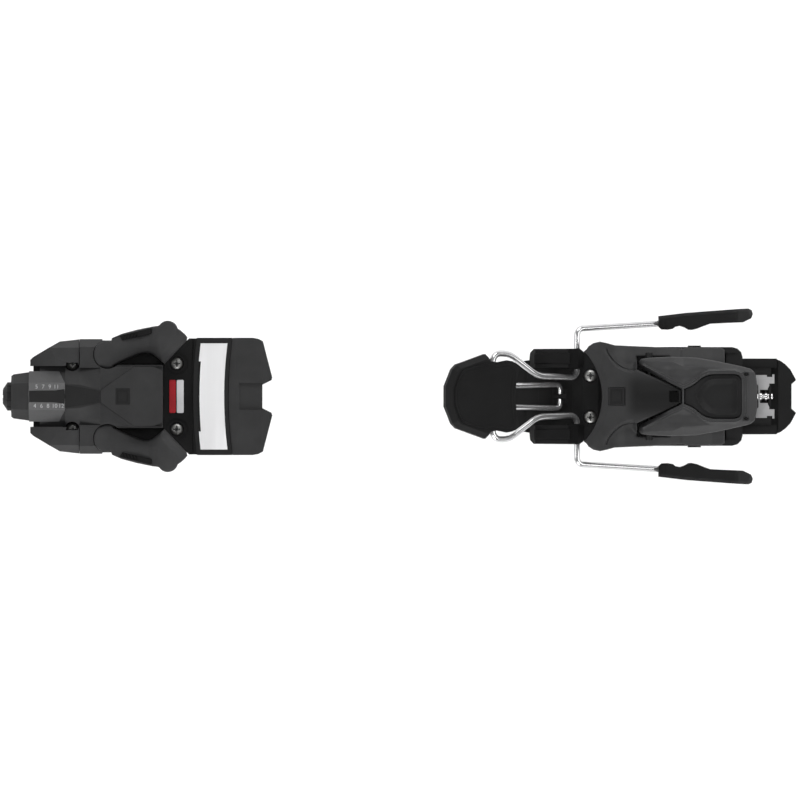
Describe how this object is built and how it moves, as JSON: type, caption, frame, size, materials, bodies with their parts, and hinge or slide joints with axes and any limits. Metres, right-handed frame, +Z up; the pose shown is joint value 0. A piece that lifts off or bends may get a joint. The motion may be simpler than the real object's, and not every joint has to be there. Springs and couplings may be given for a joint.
{
  "type": "alpine ski binding",
  "caption": "Step-in ski binding: toe piece with turning wings and sliding sole plate, heel piece with lever on a sliding carriage, and a spring-deployed ski brake.",
  "frame": {"origin": "centre of the toe piece's four screws, on the ski's top face", "axes": "+X towards the ski's tail, +Y to the skier's right, +Z up off the ski"},
  "size_m": [0.5544, 0.1244, 0.1646],
  "materials": {
    "charcoal": "fine-grained matt",
    "black": "matt",
    "rubber": "ribbed",
    "smoke": "smoked clear plastic",
    "steel": "fine brushed",
    "polished": "polished",
    "zinc": "zinc plated",
    "spring": "oiled",
    "label": "printed bars"
  },
  "bodies": {
    "base": {"toe_base": "black", "toe_screws": "zinc", "toe_rear_block": "charcoal", "toe_housing": "charcoal", "toe_cover": "charcoal", "toe_badge": "black", "toe_window": "smoke", "toe_ridge_cap": "black", "front_fairing_right": "charcoal", "front_fairing_left": "charcoal", "toe_spring": "spring", "toe_piston": "steel", "wing_pin_right": "zinc", "wing_pin_left": "zinc", "toe_label": "label", "heel_track": "black", "heel_screws_front": "zinc", "heel_screws_rear": "zinc", "brake_base": "black", "brake_keeper": "black", "tower_cap_right": "rubber", "tower_cap_left": "rubber"},
    "sliding_plate": {"afd_carrier": "black", "afd_plate": "steel"},
    "right_wing": {"wing_right": "charcoal", "wing_grip_right": "rubber"},
    "left_wing": {"wing_left": "charcoal", "wing_grip_left": "rubber"},
    "toe_screw": {"toe_release_screw": "black"},
    "toe_nut": {"toe_indicator": "black"},
    "carriage": {"heel_carriage": "black", "housing_pivot_pin": "zinc", "forward_pressure_plate": "steel"},
    "pressure_screw": {"forward_pressure_screw": "polished"},
    "heel": {"heel_housing": "charcoal", "heel_badge": "black", "heel_treadle": "black", "heel_spring": "spring", "heel_plunger": "steel", "lever_pin": "zinc"},
    "heel_screw": {"heel_release_screw": "black"},
    "heel_nut": {"heel_indicator": "black"},
    "lever": {"heel_lever": "charcoal", "lever_insert": "black"},
    "brake_arms": {"brake_wire_right": "polished", "brake_wire_left": "polished", "brake_pad_right": "black", "brake_pad_left": "black"},
    "pedal": {"brake_pedal": "black", "pedal_tread": "rubber"},
    "link": {"brake_link": "polished"}
  },
  "joints": [
    {"name": "wing_right_turn", "type": "hinge", "parent": "base", "child": "right_wing", "pos_m": [-0.0116, 0.0293, 0.02], "axis": [0, 0, 1], "range_deg": [0, 26], "stiffness_Nm_per_rad": 8, "springref_deg": -22.92},
    {"name": "wing_left_turn", "type": "hinge", "parent": "base", "child": "left_wing", "pos_m": [-0.0116, -0.0293, 0.02], "axis": [0, 0, -1], "range_deg": [0, 26], "stiffness_Nm_per_rad": 8, "springref_deg": -22.92},
    {"name": "sliding_plate_swing", "type": "hinge", "parent": "base", "child": "sliding_plate", "pos_m": [0.367, 0, 0.01], "axis": [0, 0, 1], "range_deg": [-1.7, 1.7], "stiffness_Nm_per_rad": 20},
    {"name": "toe_screw_turn", "type": "hinge", "parent": "base", "child": "toe_screw", "pos_m": [-0.08, 0, 0.02], "axis": [1, 0, 0], "range_deg": [0, 1080]},
    {"name": "toe_indicator_slide", "type": "slide", "parent": "base", "child": "toe_nut", "axis": [1, 0, 0], "range_m": [0, 0.00601]},
    {"name": "carriage_slide", "type": "slide", "parent": "base", "child": "carriage", "axis": [1, 0, 0], "range_m": [-0.012, 0.003]},
    {"name": "pressure_screw_turn", "type": "hinge", "parent": "carriage", "child": "pressure_screw", "pos_m": [0.44, 0, 0.008], "axis": [1, 0, 0], "range_deg": [-1201, 301]},
    {"name": "heel_open", "type": "hinge", "parent": "carriage", "child": "heel", "pos_m": [0.398, 0, 0.024], "axis": [0, 1, 0], "range_deg": [0, 38], "stiffness_Nm_per_rad": 6, "springref_deg": -20.05},
    {"name": "lever_press", "type": "hinge", "parent": "heel", "child": "lever", "pos_m": [0.366, 0, 0.05], "axis": [0, 1, 0], "range_deg": [0, 20], "stiffness_Nm_per_rad": 1, "springref_deg": -17.19},
    {"name": "heel_screw_turn", "type": "hinge", "parent": "heel", "child": "heel_screw", "pos_m": [0.4, 0, 0.038], "axis": [1, 0, 0], "range_deg": [0, 720]},
    {"name": "heel_indicator_slide", "type": "slide", "parent": "heel", "child": "heel_nut", "axis": [1, 0, 0], "range_m": [0, 0.00401]},
    {"name": "brake_retract", "type": "hinge", "parent": "base", "child": "brake_arms", "pos_m": [0.3163, 0, 0.009], "axis": [0, -1, 0], "range_deg": [0, 33], "stiffness_Nm_per_rad": 0.6, "springref_deg": -85.94},
    {"name": "pedal_turn", "type": "hinge", "parent": "brake_arms", "child": "pedal", "pos_m": [0.25688, 0, 0.05378], "axis": [0, 1, 0], "range_deg": [0, 13.05]},
    {"name": "link_turn", "type": "hinge", "parent": "base", "child": "link", "pos_m": [0.3045, 0, 0.008], "axis": [0, -1, 0], "range_deg": [0, 43.7]}
  ],
  "couplings": [
    {"joint": "toe_indicator_slide", "follows": "toe_screw_turn", "m_per_rad": 0.00031831},
    {"joint": "heel_indicator_slide", "follows": "heel_screw_turn", "m_per_rad": 0.00031831},
    {"joint": "pressure_screw_turn", "follows": "carriage_slide", "rad_per_m": 1745.3},
    {"joint": "pedal_turn", "follows": "brake_retract", "ratio": 0.39394},
    {"joint": "link_turn", "follows": "brake_retract", "ratio": 1.319}
  ]
}
